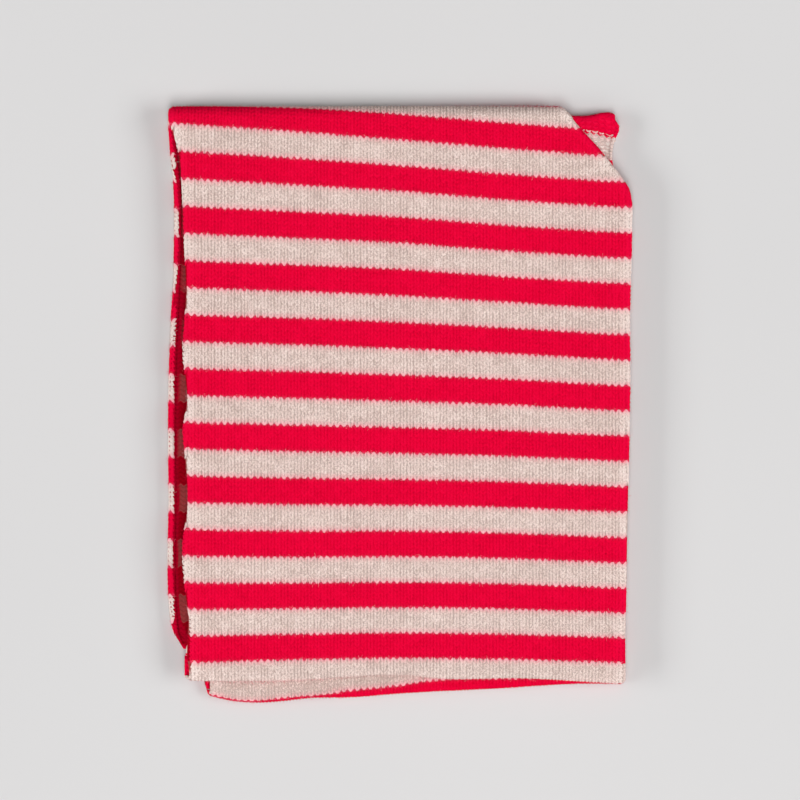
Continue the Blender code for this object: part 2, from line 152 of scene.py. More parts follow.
# How stitches and fibres are strewn
STITCH_SEED = 11
FUZZ_SEED = 31
UNEVEN = 0.12  # how uneven stitches are in width and length
UNEVEN_TURN = 0.8  # and how much of that goes to their turn
UNEVEN_HEIGHT = 2.5  # and to their height
DASHED_ROW = 0  # on the purl side, the row of a red stripe that shows as oatmeal dashes
DASH_THINNER = 0.78  # how much thinner than a bump these are
FIBRE_SIZES = (0.5, 1.4)  # the least and the most, as a scale
FEW_FIBRES = 0.08  # the share of fibres that stay away from a change of stripe
FIBRE_STRAY = 0.5  # how far past a change of stripe one may root
FIBRE_TILT = 0.35  # in radians

# The studio
FILL = 0.12  # the strength of the even light all round
# Each light's name, direction, height above the table in degrees, width, length and power
LIGHTS = (
    ("key", -90, 68, 3.4, 7.0, 500),
    ("left light", -171, 22, 6.6, 2.3, 440),
    ("right light", -9, 31, 6.6, 3.6, 470),
)
LIGHT_DISTANCE = 9.0
CAMERA_PLACE = (-0.000045, 0.002075, 2.6)
PICTURE_WIDTH = 0.4  # on the table
SENSOR = 36.0
TABLE_REACH = 4.0
TABLE_TOP = -0.0003  # just under the packet
TABLE_ROUGH = 0.8
TABLE_STOPS = (0.3, 0.7)

# The rows and columns of each stretch's face that show, and so carry stitches
STITCHED = {
    "top_layer": np.s_[:-3, 1:-1],
    "second_layer": np.s_[:34, 52:],
    "third_layer": np.s_[4:, :],
    "fourth_layer": np.s_[:, : CURL_STEPS + 4],
    "tapered_end": np.s_[:, : CURL_STEPS + 6],
}


def table(names, *rows):
    """A short table, as one array of numbers for each named column."""
    return dict(zip(names, np.array(rows, float).T))


TOP_LEFT = table(
    ("y", "x", "curl"),
    (-139.0, -105.6, 8),
    (-133.6, -105.3, 12),
    (-125.0, -106.4, 12),
    (-114.0, -106.2, 30),
    (-104.0, -106.3, 75),
    (-87.6, -108.0, 100),
    (-67.6, -108.6, 100),
    (-54.0, -106.7, 95),
    (-25.0, -107.6, 100),
    (-12.6, -108.6, 100),
    (1.4, -106.7, 90),
    (26.0, -108.6, 100),
    (55.9, -107.1, 95),
    (82.4, -108.1, 100),
    (112.4, -109.4, 100),
    (127.4, -111.1, 100),
    (139.9, -115.0, 95),
    (143.2, -116.0, 95),
)
TOP_RIGHT = table(
    ("y", "x", "curl"),
    (-140.0, 112.4, 8),
    (-130.0, 112.5, 12),
    (-104.0, 113.0, 80),
    (-67.6, 113.5, 95),
    (2.4, 114.9, 95),
    (52.4, 115.0, 95),
    (87.4, 115.9, 90),
    (102.4, 115.9, 75),
    (107.4, 114.9, 60),
    (111.4, 112.4, 55),
    (119.9, 105.9, 50),
    (127.4, 99.9, 50),
    (139.9, 88.4, 50),
    (143.2, 85.8, 50),
)
SECOND_LEFT = table(
    ("y", "x", "curl"),
    (-128.0, -107.8, 10),
    (-122.0, -107.3, 10),
    (-114.0, -103.4, 10),
    (-104.0, -103.2, 10),
    (-60.0, -104.0, 10),
    (0.0, -103.4, 10),
    (60.0, -103.8, 10),
    (110.0, -105.2, 10),
    (128.0, -107.0, 10),
    (143.0, -108.5, 10),
)
SECOND_RIGHT = table(
    ("y", "x", "curl"),
    (-128.0, 109.8, 10),
    (-77.0, 110.6, 10),
    (0.0, 112.0, 10),
    (50.0, 112.3, 10),
    (94.0, 112.9, 10),
    (103.0, 112.2, 15),
    (111.0, 109.2, 20),
    (118.0, 106.9, 30),
    (127.0, 106.5, 50),
    (132.0, 107.6, 60),
    (137.0, 109.8, 65),
    (140.7, 109.4, 60),
    (143.0, 107.6, 50),
)
FOURTH_LEFT = table(
    ("y", "x", "curl"),
    (-146.0, -94.8, 20),
    (-144.0, -96.2, 70),
    (-141.0, -97.5, 120),
    (-136.0, -97.7, 130),
    (-111.0, -97.2, 120),
)
END_LEFT = table(
    ("y", "x", "curl"),
    (-122.6, -108.0, 30),
    (-119.0, -110.6, 70),
    (-113.6, -113.2, 130),
    (-107.6, -114.9, 180),
    (-97.6, -115.9, 200),
    (-85.0, -116.3, 205),
    (-47.6, -115.9, 200),
    (-17.6, -116.1, 205),
    (12.0, -115.9, 200),
    (47.0, -114.5, 195),
    (60.0, -113.7, 190),
    (87.0, -113.1, 190),
    (109.9, -113.5, 190),
    (124.9, -115.1, 185),
    (143.2, -116.2, 150),
)
THIRD_SIDES = (-95.0, 111.6)
THIRD_LOW_LEFT = -97.0  # where the third layer's fold meets the fourth's left edge
FOURTH_RIGHT = 110.6
INNER_FOLD = table(
    ("x", "y"),
    (-110.0, 145.2),
    (-20.0, 145.2),
    (60.0, 145.1),
    (76.0, 144.9),
    (88.0, 144.4),
    (94.4, 144.6),
    (99.0, 145.6),
    (102.6, 146.3),
    (105.2, 145.8),
    (107.0, 144.0),
)
NEAR_FOLD = table(
    ("x", "y"),
    (-106.0, -137.6),
    (-85.0, -138.1),
    (-40.0, -137.0),
    (-27.0, -136.0),
    (-14.0, -135.1),
    (3.0, -135.2),
    (22.0, -136.8),
    (60.0, -136.4),
    (90.0, -138.1),
    (112.0, -139.6),
)
LOWER_FOLD = table(
    ("x", "y"),
    (-97.0, -144.6),
    (-92.0, -146.3),
    (-84.0, -148.0),
    (-73.0, -148.9),
    (-58.0, -148.1),
    (-46.0, -146.7),
    (-25.0, -146.3),
    (0.0, -144.4),
    (50.0, -141.8),
    (90.0, -139.5),
    (112.0, -139.6),
)
HIDDEN_SIDES = table(
    ("y", "upper_left", "lower_left", "upper_right", "lower_right"),
    (-112.0, -96.5, -98.5, 110.4, 108.6),
    (-60.0, -98.0, -99.5, 109.0, 110.2),
    (0.0, -98.4, -97.0, 111.0, 109.0),
    (60.0, -99.6, -98.0, 110.4, 111.2),
    (100.0, -100.8, -99.0, 110.6, 108.8),
    (115.0, -101.8, -100.6, 105.0, 103.4),
    (131.0, -103.0, -101.4, 103.4, 101.6),
)
HIDDEN_GROOVE = 2.4
ROLLS = table(
    ("x", "y", "size", "reach"),
    (-70.0, 28.0, 0.30, 34.0),
    (-20.0, 96.0, -0.28, 40.0),
    (52.0, -38.0, 0.26, 44.0),
    (-44.0, -84.0, -0.24, 38.0),
    (84.0, 48.0, -0.22, 36.0),
)
SINKS = table(
    ("x", "y", "size", "reach"),
    (112.0, 148.0, 1.2, 60.0),
    (-118.0, -148.0, 3.0, 26.0),
)
LIFTS = table(
    ("x", "y", "size", "reach"),
    (103.0, 127.0, 1.4, 60.0),
    (-116.0, -128.0, 1.4, 26.0),
)

# Where stripes change on the top layer: the height in Y of every fourth change from the
# first, which is the lower edge of the first red stripe, at five places in X.
TOP_STRIPES_AT = (-100.1, -50.1, -0.1, 49.9, 99.9)
TOP_STRIPES = table(
    ("change", "far_left", "left", "middle", "right", "far_right"),
    (1, 139.2, 135.8, 131.9, 127.8, 124.1),
    (5, 84.9, 82.8, 80.5, 76.8, 73.6),
    (9, 31.1, 29.8, 27.9, 25.7, 22.7),
    (13, -22.3, -23.3, -24.3, -25.5, -27.7),
    (17, -75.5, -75.9, -75.7, -76.5, -78.4),
    (21, -128.3, -127.0, -126.2, -126.8, -128.1),
)
# Where the third layer turns from oatmeal to red, near its fold
THIRD_STRIPE = table(
    ("x", "y"),
    (-100.0, -145.2),
    (-93.0, -145.5),
    (-80.0, -148.0),
    (-54.0, -146.1),
    (-40.0, -145.1),
    (-26.0, -142.7),
    (-15.7, -141.7),
    (-4.6, -140.7),
    (6.0, -139.1),
    (16.0, -137.7),
    (26.0, -137.1),
    (60.0, -136.6),
    (112.0, -136.6),
)
TOP_STRIPE_SLOPES = (-0.04, -0.07)  # of the changes past those places, at the right and left
STRIPES_KNOWN = 112.0  # how far from the middle a stripe's line is read
SECOND_STRIPE = 13.7  # the second layer's stripes are drawn out a little
SECOND_FIRST = -138.1
SECOND_DROOP = 4.3  # how far its last stripe drops towards its far corner
SECOND_DROOP_FROM = (90.0, 120.0)  # where that starts, in X and Y
SECOND_DROOP_OVER = (26.0, 12.0)
END_STRIPE = 13.75  # and so are the tapered end's
END_FIRST_CHANGE = 138.9  # oatmeal above it, red below
NEAR_FOLD_CHANGE = 22  # the change of stripe where the second layer starts
LOWER_FOLD_CHANGE = 44  # and the one near the fold of the third and fourth
LOWER_FOLD_TAKES = 4.6  # the cloth that this fold takes up
HIDDEN_FIRST = -145.2

# One leg of a V stitch, the arch of a purl bump and a loose fibre, on the flat strip, whose
# courses run down in Y: the yarn's middle, half its width, and how far down its sides lie
STITCH_LEG = table(
    ("x", "y", "z", "half", "sunk"),
    (0.26, 1.72, -0.34, 0.34, 0.26),
    (0.44, 0.95, 0.00, 0.58, 0.46),
    (0.80, 0.00, 0.15, 0.68, 0.54),
    (1.14, -0.95, 0.02, 0.58, 0.46),
    (1.44, -1.72, -0.34, 0.36, 0.26),
)
PURL_ARCH = table(
    ("x", "y", "z", "half", "sunk"),
    (-1.75, 0.60, -0.40, 0.50, 0.30),
    (-1.15, 0.15, 0.00, 0.84, 0.50),
    (-0.45, -0.25, 0.10, 0.98, 0.58),
    (0.45, -0.25, 0.10, 0.98, 0.58),
    (1.15, 0.15, 0.00, 0.84, 0.50),
    (1.75, 0.60, -0.40, 0.50, 0.30),
)
FIBRE = table(("x", "y", "z"), (0.0, 0.0, -0.10), (0.6, 0.08, 0.22), (1.5, -0.08, 0.40))
FIBRE_HALF = 0.024
FIBRE_PAINTED_LIGHT = 0.8  # painted light: fibres are as bright as a yarn is this near its ridge


def read(rows, key, name, at):
    """The smooth value of a table's column at a place along its key column."""
    x, y = rows[key], rows[name]
    slope = np.gradient(y, x)
    at = np.clip(at, x[0], x[-1])
    i = np.clip(np.searchsorted(x, at) - 1, 0, len(x) - 2)
    step = x[i + 1] - x[i]
    t = (at - x[i]) / step
    from_start = (1 + 2 * t) * (1 - t) ** 2 * y[i] + t * (1 - t) ** 2 * step * slope[i]
    from_end = t**2 * (3 - 2 * t) * y[i + 1] + t**2 * (t - 1) * step * slope[i + 1]
    return from_start + from_end


def blended(first, second, share):
    return first + (second - first) * share


def ease(t):
    t = np.clip(t, 0, 1)
    return t * t * (3 - 2 * t)


def bumps(rows, x, y):
    total = 0.0
    for centre_x, centre_y, size, reach in zip(*rows.values()):
        total = total + size * ease(1 - np.hypot(x - centre_x, y - centre_y) / reach)
    return total


def over_end(x, y, gone, run):
    """1 over the tapered end, fading over a run to 0 where it is `gone` past the slant."""
    along, up = np.subtract(SLANT_TOP, SLANT_TIP)
    past = ((x - SLANT_TIP[0]) * up - (y - SLANT_TIP[1]) * along) / math.hypot(along, up)
    return ease((gone - past) / run)


def round_corner(x, y, share=1.0):
    start, drop, reach = FAR_CORNER
    near_fold = ease((y - FAR_EDGE) / CORNER_REACH + 1.5)
    return y - drop * ease((start - x) / reach) * near_fold * share


def packet_top(x, y):
    height = LOW + (HIGH - LOW) * over_end(x, y, gone=35, run=60)
    return height + bumps(ROLLS, x, y) - bumps(SINKS, x, y)


def second_top(x, y):
    return packet_top(x, y) - LAYER - bumps(LIFTS, x, y)


def third_top(x, y):
    return second_top(x, y) - LAYER


def hidden_base(x, y):
    return LAYER * over_end(x, y, gone=30, run=16)


def near_fold(x):
    return read(NEAR_FOLD, "x", "y", x)


def lower_fold(x):
    """How far the lowest fold reaches, and where the third layer starts to turn into it."""
    outside = read(LOWER_FOLD, "x", "y", x)
    return outside, outside + third_top(x, outside) / 2


def stations(far, near):
    """Rows that the layers share between two places in Y."""
    ends = 0.4 * ROW_PITCH
    shared = np.arange(0, FAR_EDGE, ROW_PITCH)
    shared = np.concatenate([shared[:0:-1], -shared])
    return shared[(shared < far - ends) & (shared > near + ends)]


def edge(side, y):
    """Where a side edge is at a place in Y, and how far it curls."""
    return [float(read(side, "y", name, y)) for name in ("x", "curl")]


def edges(left, right, y):
    """Both side edges, in the order that a row's columns need them."""
    return [value for pair in zip(edge(left, y), edge(right, y)) for value in pair]


def curled(angle, width):
    """A curled edge: how far out and how deep its columns lie, and the room that it takes."""
    if angle is None:
        return np.zeros(0), np.zeros(0), EDGE_ROUND
    turned = math.radians(max(angle, LEAST_CURL))
    radius = width / turned
    steps = turned * np.arange(1, CURL_STEPS + 1) / CURL_STEPS
    steepest = min(turned, math.pi / 2)
    reach = (radius + WALL / 2) * math.sin(steepest) + EDGE_ROUND * math.cos(steepest)
    return radius * np.sin(steps), radius * (1 - np.cos(steps)), reach


def across(left, right, left_curl, right_curl, columns=FLAT_COLUMNS, width=CURLED):
    """The columns of one row: where the flat cloth is read, each one's x, its curl's depth."""
    left_out, left_depth, left_reach = curled(left_curl, width)
    right_out, right_depth, right_reach = curled(right_curl, width)
    flat = np.linspace(left + left_reach, right - right_reach, columns + 1)
    x = np.concatenate([flat[0] - left_out[::-1], flat, flat[-1] + right_out])
    depth = np.concatenate([left_depth[::-1], np.zeros(len(flat)), right_depth])
    return np.clip(x, flat[0], flat[-1]), x, depth


def turning(sides, into):
    """The columns round a fold. What `into` gives for a side is what that side turns into."""

    def columns_at(angle):
        below = 0.5 - angle / math.pi
        return across(*(a if b is None else blended(a, b, below) for a, b in zip(sides, into)))

    return columns_at


def middle_of(top, x, y):
    """How high the middle of a layer lies, from its top."""
    return top(x, y) - WALL / 2


def row_of(columns, y, z, curl_side, lean=(0, 1)):
    """One row of points. Its edges curl to one side of the way that it leans, in Y and Z."""
    _, x, depth = columns
    curl = curl_side * depth
    return np.stack([x, y + curl * lean[0], z + curl * lean[1]], axis=1)


def fold_rows(columns_at, outside, top_z, bottom_z, end, curl_side, steps=FOLD_STEPS):
    """Rows round a fold, from its top to its bottom."""
    rows = []
    for angle in np.linspace(math.pi / 2, -math.pi / 2, steps + 1):
        columns = columns_at(angle)
        at = columns[0]
        low = bottom_z(at)
        radius = (top_z(at) - low) / 2
        lean = (end * math.cos(angle), math.sin(angle))
        y = outside(columns[1], angle) - end * (radius + WALL / 2) + radius * lean[0]
        rows.append(row_of(columns, y, low + radius * (1 + lean[1]), curl_side, lean))
    return rows


def top_layer():
    far_start = FAR_EDGE - HIGH / 2
    near_start = NEAR_FOLD["y"].max() + LAYER
    far_columns = turning(
        edges(TOP_LEFT, TOP_RIGHT, far_start),
        (END_LEFT["x"][-1], SLANT_TOP[0], END_LEFT["curl"][-1], None),
    )
    near_columns = turning(
        edges(TOP_LEFT, TOP_RIGHT, near_start),
        (SECOND_LEFT["x"][0], SECOND_RIGHT["x"][0], None, None),
    )
    rows = fold_rows(
        far_columns,
        lambda x, angle: round_corner(x, FAR_EDGE, ease(1 + 2 * angle / math.pi)),
        lambda x: middle_of(packet_top, x, far_start),
        lambda x: WALL / 2,
        1,
        -1,
        OUTER_FOLD_STEPS,
    )[::-1]
    first_flat = len(rows) - 1
    for y in stations(far_start, near_start):
        columns = across(*edges(TOP_LEFT, TOP_RIGHT, y))
        z = middle_of(packet_top, columns[0], y)
        rows.append(row_of(columns, round_corner(columns[1], y), z, -1))
    last_flat = len(rows)
    rows += fold_rows(
        near_columns,
        lambda x, angle: near_fold(x),
        lambda x: middle_of(packet_top, x, near_fold(x) + LAYER),
        lambda x: middle_of(second_top, x, near_fold(x) + LAYER),
        -1,
        -1,
    )
    columns = near_columns(-math.pi / 2)
    for share in TUCK_SHARES:
        y = near_fold(columns[0]) + LAYER + TUCK * share
        rows.append(row_of(columns, y, middle_of(second_top, columns[0], y), -1, (0, -1)))
    return np.array(rows), first_flat, last_flat


def second_layer():
    far_start = INNER_FOLD["y"].min() - LAYER
    near_end = NEAR_FOLD["y"].max() + LAYER + TUCK + GAP

    def far_columns(angle):
        flat = (1 + math.sin(angle)) / 2
        left, right, left_curl, right_curl = edges(SECOND_LEFT, SECOND_RIGHT, FAR_EDGE)
        return across(left, right, left_curl * flat, right_curl * flat)

    rows = fold_rows(
        far_columns,
        lambda x, angle: read(INNER_FOLD, "x", "y", x),
        lambda x: middle_of(second_top, x, far_start),
        lambda x: middle_of(second_top, x, far_start) - LAYER,
        1,
        1,
    )
    columns = far_columns(-math.pi / 2)
    for share in TUCK_SHARES:
        y = far_start - TUCK * share
        z = middle_of(second_top, columns[0], y) - LAYER
        rows.append(row_of(columns, y, z, 1, (0, -1)))
    rows.reverse()
    first_flat = len(rows) - 1
    for y in (*stations(far_start, near_end), near_end):
        columns = across(*edges(SECOND_LEFT, SECOND_RIGHT, y))
        if y == near_end:
            y = near_fold(columns[0]) + LAYER + TUCK + GAP
        rows.append(row_of(columns, y, middle_of(second_top, columns[0], y), 1))
    return np.array(rows), first_flat, len(rows) - 1


def third_layer():
    sides = (*THIRD_SIDES, None, None)
    columns = across(*sides)
    _, start = lower_fold(columns[0])
    rows = [
        row_of(columns, y, middle_of(third_top, columns[0], y), 0)
        for y in (THIRD_START, *stations(THIRD_START, start.max()))
    ]
    last_flat = len(rows) - 1
    rows += fold_rows(
        turning(sides, (THIRD_LOW_LEFT, None, None, None)),
        lambda x, angle: lower_fold(x)[0],
        lambda x: middle_of(third_top, x, start),
        lambda x: WALL / 2,
        -1,
        0,
    )
    return np.array(rows), 0, last_flat


def fourth_layer():
    rows = []
    for share in np.linspace(0, 1, FOURTH_ROWS):
        typical = blended(THIRD_START, LOWER_FOLD["y"][0] + LAYER, share)
        left, curl = edge(FOURTH_LEFT, typical)
        columns = across(left, FOURTH_RIGHT, curl, None)
        _, end = lower_fold(columns[1])
        y = blended(THIRD_START, end + 2 * GAP, share)
        rows.append(row_of(columns, y, WALL / 2, 1))
    return np.array(rows), 0, len(rows) - 1


def tapered_end():
    far_start = FAR_EDGE - HIGH / 2
    rows = []
    for y in (far_start, *stations(far_start, END_TIP), END_TIP):
        left, curl = edge(END_LEFT, y)
        reached = (y - SLANT_TIP[1]) / (SLANT_TOP[1] - SLANT_TIP[1])
        right = blended(SLANT_TIP[0], SLANT_TOP[0], reached)
        width = min(END_CURLED, TIP_CURLED * (right - left))
        curl *= width / END_CURLED
        columns = across(left, right, curl, None, NARROW_COLUMNS, width)
        if y == far_start:
            y = FAR_EDGE - packet_top(columns[0], far_start) / 2 - GAP
        rows.append(row_of(columns, y, WALL / 2, 1))
    return np.array(rows), 0, len(rows) - 1


def lengths(points, axis):
    """How far along a grid of points each one is, measured one way over it."""
    steps = np.linalg.norm(np.diff(points, axis=axis), axis=2)
    start = np.zeros_like(steps.take([0], axis))
    return np.concatenate([start, np.cumsum(steps, axis=axis)], axis=axis)


class Cloth:
    """A stretch of the strip: its middle, its directions, and its place on the flat strip."""

    def __init__(self, name, built, right_side, course_of):
        self.name = name
        self.right_side = right_side  # 1 where the V side faces outward from the rows
        self.free_end = name == "tapered_end"
        self.part = STITCHED[name]
        self.middle, first_flat, last_flat = built
        self.flat_rows = slice(first_flat, last_flat)
        along = np.gradient(self.middle, axis=0)
        sideways = np.gradient(self.middle, axis=1)
        for end in (0,) if self.free_end else (0, -1):
            along[end] = (0, np.sign(along[end, 0, 1]), 0)
        outward = np.cross(along, sideways)
        self.along, self.sideways, self.outward = (
            way / np.linalg.norm(way, axis=2, keepdims=True)
            for way in (along, sideways, outward)
        )
        self.flat = self.place_on_strip(course_of, first_flat, last_flat)

    def face(self, side, height):
        return self.middle + self.outward * side * height

    def place_on_strip(self, course_of, first, last):
        """Each point's place on the flat strip, in millimetres: across it and down it."""
        mid = int(np.argmin(np.abs(self.middle[len(self.middle) // 2, :, 0])))
        run = lengths(self.middle, 1)
        wide = run - run[:, mid : mid + 1] + self.middle[:, mid : mid + 1, 0]

        down = lengths(self.face(self.right_side, WALL / 2), 0)
        long = np.empty_like(wide)
        rows = slice(first, last + 1)
        x = np.clip(self.middle[..., 0], -STRIPES_KNOWN, STRIPES_KNOWN)
        long[rows] = course_of(x[rows], self.middle[rows, :, 1])
        way = 1 if long[last, mid] >= long[first, mid] else -1
        long[:first] = long[first] + way * (down[:first] - down[first])
        long[last + 1 :] = long[last] + way * (down[last + 1 :] - down[last])
        return np.stack([wide, long], axis=2)


def stripe_rungs():
    """Every change of stripe on the top layer, and one more at each end, at the five places."""
    changes = np.arange(TOP_STRIPES["change"][0], TOP_STRIPES["change"][-1] + 1)
    columns = []
    for name in list(TOP_STRIPES)[1:]:
        inside = read(TOP_STRIPES, "change", name, changes)
        first = inside[0] + (inside[0] - inside[1])
        last = inside[-1] - (inside[-2] - inside[-1])
        columns.append([first, *inside, last])
    return np.array(columns).T


RUNGS = stripe_rungs()


def top_course_of(x, y):
    spread = np.array(TOP_STRIPES_AT)
    flat_x, flat_y = x.ravel(), y.ravel()
    heights = np.stack([read({"x": spread, "y": rung}, "x", "y", flat_x) for rung in RUNGS])
    past = flat_x - np.clip(flat_x, spread[0], spread[-1])
    heights = heights + past * np.where(flat_x > 0, *TOP_STRIPE_SLOPES)
    i = np.clip((heights > flat_y).sum(axis=0) - 1, 0, len(RUNGS) - 2)
    top, low = (np.take_along_axis(heights, i[None] + k, axis=0)[0] for k in (0, 1))
    return ((i + (top - flat_y) / (top - low)) * STRIPE).reshape(x.shape)


def second_course_of(x, y):
    """The second layer's stripes count up from the near fold, where they start red."""
    droop = SECOND_DROOP
    for place, start, run in zip((x, y), SECOND_DROOP_FROM, SECOND_DROOP_OVER):
        droop = droop * ease((place - start) / run)
    return (NEAR_FOLD_CHANGE + (y + droop - SECOND_FIRST) / SECOND_STRIPE) * STRIPE


def third_course_of(x, y):
    return LOWER_FOLD_CHANGE * STRIPE - (y - read(THIRD_STRIPE, "x", "y", x))


def fourth_course_of(x, y):
    past = y - read(THIRD_STRIPE, "x", "y", x)
    return LOWER_FOLD_CHANGE * STRIPE + LOWER_FOLD_TAKES + past


def end_course_of(x, y):
    return (-1 - (END_FIRST_CHANGE - y) / END_STRIPE) * STRIPE


def link(name, data):
    obj = bpy.data.objects.new(name, data)
    bpy.context.scene.collection.objects.link(obj)
    return obj


def mesh_from(name, points, faces, flat):
    """A smooth mesh in metres. Its UV map `knit` is each point's place on the flat strip."""
    mesh = bpy.data.meshes.new(name)
    places = (np.asarray(points, float).reshape(-1, 3) - (*MIDDLE, 0)) * METRE
    mesh.from_pydata(places.tolist(), [], faces)
    corners = np.empty(len(mesh.loops), int)
    mesh.loops.foreach_get("vertex_index", corners)
    flat = np.asarray(flat, float).reshape(-1, 2)[corners] * METRE
    mesh.uv_layers.new(name="knit").data.foreach_set("uv", flat.astype(np.float32).ravel())
    mesh.shade_smooth()
    mesh.validate()
    return mesh


def keep(mesh, name, values):
    """Keeps one number at each vertex of a mesh."""
    layer = mesh.attributes.new(name, "FLOAT", "POINT")
    layer.data.foreach_set("value", np.asarray(values, np.float32).ravel())


def closed_piece(name, mesh, material):
    """A piece from a closed mesh, with no spare points and its faces turned outwards."""
    work = bmesh.new()
    work.from_mesh(mesh)
    bmesh.ops.delete(work, geom=[v for v in work.verts if not v.link_faces], context="VERTS")
    bmesh.ops.triangulate(work, faces=[f for f in work.faces if len(f.verts) > 4])
    bmesh.ops.recalc_face_normals(work, faces=work.faces)
    work.to_mesh(mesh)
    work.free()
    mesh.materials.append(material)
    return link(name, mesh)


def grid_quads(rows, columns, start=0, flip=False):
    at = start + np.arange(rows * columns).reshape(rows, columns)
    quads = np.stack([at[:-1, :-1], at[1:, :-1], at[1:, 1:], at[:-1, 1:]], axis=2)
    return (quads[..., ::-1] if flip else quads).reshape(-1, 4).tolist()


def rim_of(rows, columns, start):
    """The points round a grid's rim."""
    at = start + np.arange(rows * columns).reshape(rows, columns)
    return np.concatenate([at[0], at[1:-1, -1], at[-1, ::-1], at[-2:0:-1, 0]]).tolist()


def bands(rings):
    """Faces that join each ring of points to the next."""
    faces = []
    for first, second in zip(rings, rings[1:]):
        faces += zip(first, first[1:] + first[:1], second[1:] + second[:1], second)
    return faces


def shell(cloth, material, side):
    """The closed body of a stretch of cloth, with rounded rims. It keeps the painted shade under
    stitches, 1 where they lie on it, and `carried`, where the red yarn runs up the strip's left
    edge and the cloth there is darkened as painted shade."""
    rows, columns = cloth.middle.shape[:2]
    push = np.zeros_like(cloth.middle)
    push[:, 0] -= cloth.sideways[:, 0]
    push[:, -1] += cloth.sideways[:, -1]
    push[-1] += cloth.along[-1] * cloth.free_end
    push /= np.maximum(np.linalg.norm(push, axis=2, keepdims=True), 1)
    outer, inner = (SHELL_RIGHT, SHELL_PURL)[:: cloth.right_side]
    layers = [cloth.face(1, outer), cloth.face(-1, inner)]
    for out, height in ((RIM_OUT, outer), (1, 0), (RIM_OUT, -inner)):
        layers.append(cloth.middle + push * EDGE_ROUND * out + cloth.outward * height * RIM_UP)
    count = rows * columns
    faces = grid_quads(rows, columns) + grid_quads(rows, columns, count, flip=True)
    faces += bands([rim_of(rows, columns, start * count) for start in (0, 2, 3, 4, 1)])
    mesh = mesh_from(cloth.name, layers, faces, [cloth.flat] * len(layers))

    # Painted shade under the stitches: the cloth between them is darkened, less so under purl
    # bumps
    covered = np.zeros((len(layers), rows, columns))
    under = 1.0 if side == cloth.right_side else UNDER_PURL
    covered[int(side < 0)][cloth.part][1:-1, 1:-1] = under
    keep(mesh, "covered", covered)
    # Painted shade along the left edge, with the carried red yarn
    from_edge = (cloth.flat[..., 0] - cloth.flat[:, :1, 0])[cloth.flat_rows]
    carried = np.zeros_like(covered)
    for reach, amount in CARRIED_AND_SHADE.get(cloth.name, ()):
        shown = amount * ease((reach - from_edge) / CARRIED_FADE)
        carried[:, cloth.flat_rows] = np.maximum(carried[:, cloth.flat_rows], shown)
    keep(mesh, "carried", carried)
    return closed_piece(cloth.name + "_cloth", mesh, material)


def face_mesh(cloth, side):
    """An open face of the cloth for stitches to lie on. It keeps `out`, the way off the cloth,
    `relief`, which falls off towards the curled rims, and painted light, which lightens stitches
    there, less each stretch's painted shade."""
    part = cloth.part
    points = cloth.face(side, WALL / 2)[part]
    wide = cloth.flat[..., 0]
    near_rim = np.minimum(wide - wide[:, :1], wide[:, -1:] - wide)[part]
    relief = RIM_RELIEF + (1 - RIM_RELIEF) * ease((near_rim - RIM_FLAT) / RIM_RISE)
    name = cloth.name + "_ground"
    mesh = mesh_from(name, points, grid_quads(*points.shape[:2], flip=side < 0), cloth.flat[part])
    out = mesh.attributes.new("out", "FLOAT_VECTOR", "POINT")
    ways = cloth.outward[part] * side
    out.data.foreach_set("vector", ways.astype(np.float32).ravel())
    keep(mesh, "relief", relief)
    # painted light on stitches near the curled rims, less each stretch's painted shade
    keep(mesh, "tint", 1 - relief - PAINTED_SHADE_BY_STRETCH.get(cloth.name, 0.0))
    return link(name, mesh)


def sign(operation):
    """An operator between worked-out numbers, as a node."""
    return lambda first, second: first.build.maths(operation, first, second)


class Worked:
    """What a node works out. Plain signs between such numbers add the nodes that they mean."""

    __add__ = __radd__ = sign("ADD")
    __sub__ = sign("SUBTRACT")
    __mul__ = __rmul__ = sign("MULTIPLY")
    __truediv__ = sign("DIVIDE")
    __mod__ = sign("FLOORED_MODULO")
    __pow__ = sign("POWER")
    __gt__ = sign("GREATER_THAN")
    __lt__ = sign("LESS_THAN")

    def __init__(self, build, socket):
        self.build = build
        self.socket = socket

    def __rsub__(self, other):
        return self.build.maths("SUBTRACT", other, self)

    def __abs__(self):
        return self.build.maths("ABSOLUTE", self)

    def beside(self, output):
        """Another output of the same node."""
        return Worked(self.build, self.socket.node.outputs[output])


